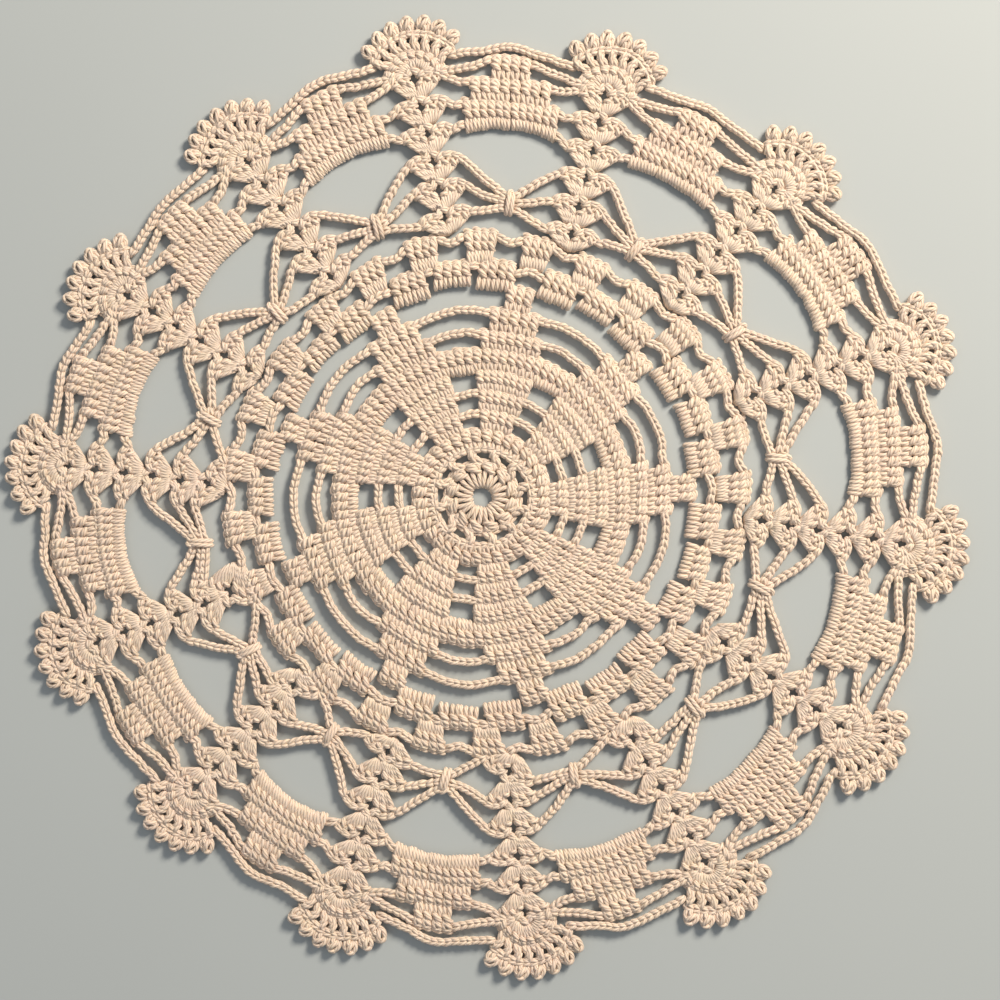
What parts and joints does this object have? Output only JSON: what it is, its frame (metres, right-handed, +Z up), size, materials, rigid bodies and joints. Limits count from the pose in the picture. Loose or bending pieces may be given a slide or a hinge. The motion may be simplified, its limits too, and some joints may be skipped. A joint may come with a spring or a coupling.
{
  "type": "crochet doily",
  "caption": "Round lace doily in ecru cotton, with a petalled star, bands of blocks, columns of shells, open arches and a scalloped picot edge.",
  "frame": {"origin": "middle of the doily's outline, on the surface that it lies on", "axes": "+Z up out of the right side of the work, +Y 18.2 degrees anticlockwise of the first shell column seen from above, +X to the right"},
  "size_m": [0.3002, 0.2998, 0.003],
  "materials": {
    "cotton_yarn": "matt twisted cotton yarn, ecru"
  },
  "bodies": {
    "root": {"centre_round": "cotton_yarn", "mesh_round": "cotton_yarn", "mesh_chain": "cotton_yarn", "inner_round": "cotton_yarn", "petal_round_4": "cotton_yarn", "petal_round_5": "cotton_yarn", "petal_round_6": "cotton_yarn", "joined_round": "cotton_yarn", "petal_round_8": "cotton_yarn", "petal_round_9": "cotton_yarn", "petal_tips": "cotton_yarn", "window_chains": "cotton_yarn", "star_chains_8": "cotton_yarn", "star_chains_9": "cotton_yarn", "band_round_11": "cotton_yarn", "band_chains_11": "cotton_yarn", "band_round_12": "cotton_yarn", "band_chains_12": "cotton_yarn", "shell_round_13": "cotton_yarn", "shell_round_14": "cotton_yarn", "shell_round_15": "cotton_yarn", "shell_round_16": "cotton_yarn", "shell_round_17": "cotton_yarn", "shell_round_18": "cotton_yarn", "tie_chains_13": "cotton_yarn", "tie_chains_14": "cotton_yarn", "tie_chains_15": "cotton_yarn", "ties": "cotton_yarn", "arch_chains_16": "cotton_yarn", "arch_round_17": "cotton_yarn", "arch_chains_17": "cotton_yarn", "arch_round_18": "cotton_yarn", "arch_chains_18": "cotton_yarn", "arch_round_19": "cotton_yarn", "arch_chains_19": "cotton_yarn", "fan_round_19": "cotton_yarn", "fan_mesh_20": "cotton_yarn", "fan_chain_20": "cotton_yarn", "edge_chains_20": "cotton_yarn", "picots": "cotton_yarn"}
  },
  "joints": []
}
